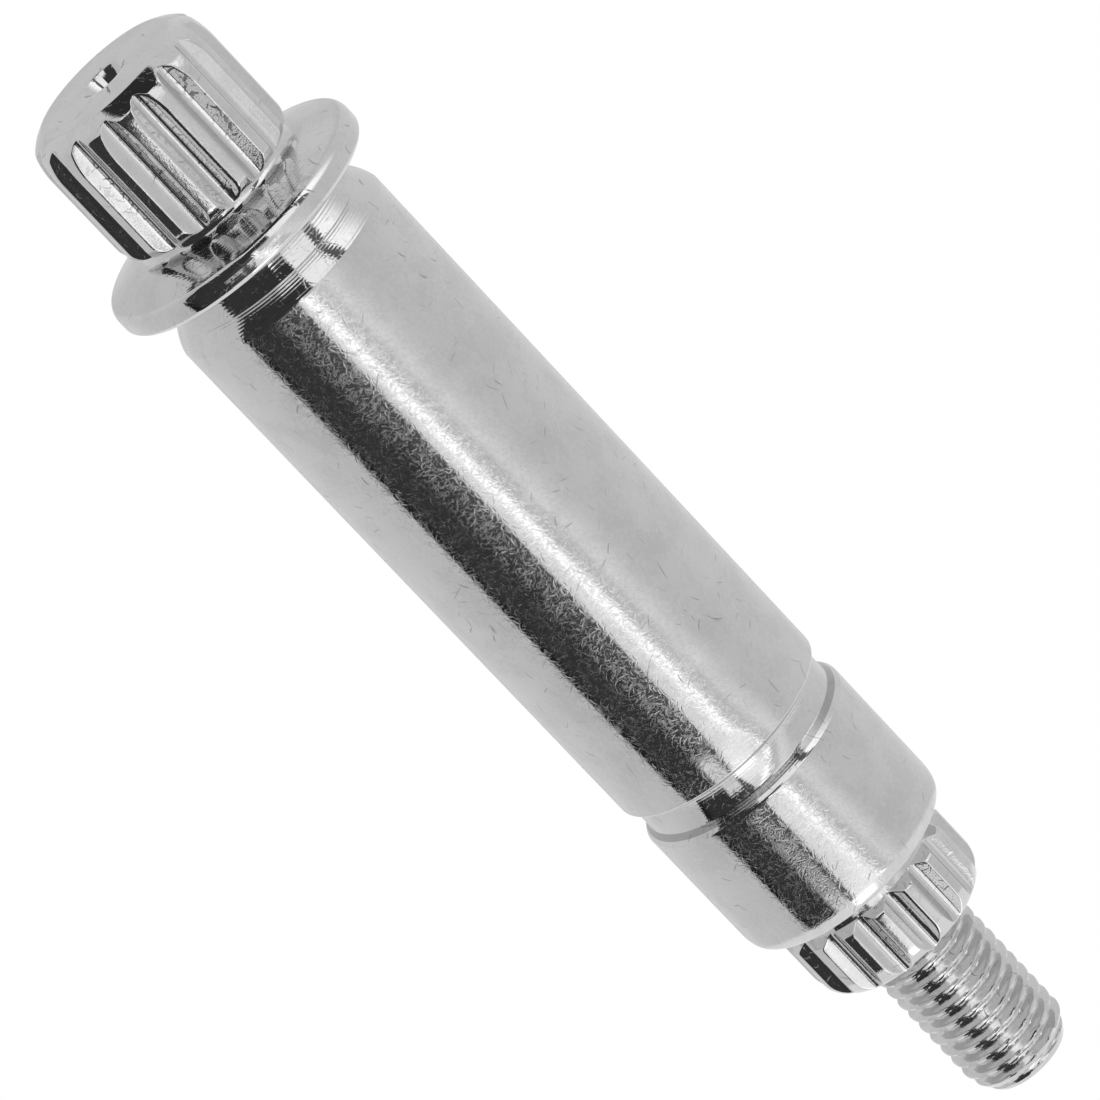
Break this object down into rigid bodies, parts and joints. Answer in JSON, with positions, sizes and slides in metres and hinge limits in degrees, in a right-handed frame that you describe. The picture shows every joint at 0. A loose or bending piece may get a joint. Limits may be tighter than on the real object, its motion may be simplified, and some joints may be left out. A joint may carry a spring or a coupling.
{
  "type": "splined drive shaft",
  "caption": "Solid steel drive shaft with a splined head, a flange, a long bearing journal, a ring groove and collar, a splined hub seat and a threaded end.",
  "frame": {"origin": "centre of the flat face of the splined head, which the shaft stands on", "axes": "+Z along the shaft's axis, from the splined head to the threaded end; a tooth of each spline is centred on +X"},
  "size_m": [0.03, 0.03, 0.1412],
  "materials": {
    "zinc_steel": "bright zinc plating with fine handling scratches and turned bands"
  },
  "bodies": {
    "root": {"drive_shaft": "zinc_steel"}
  },
  "joints": []
}
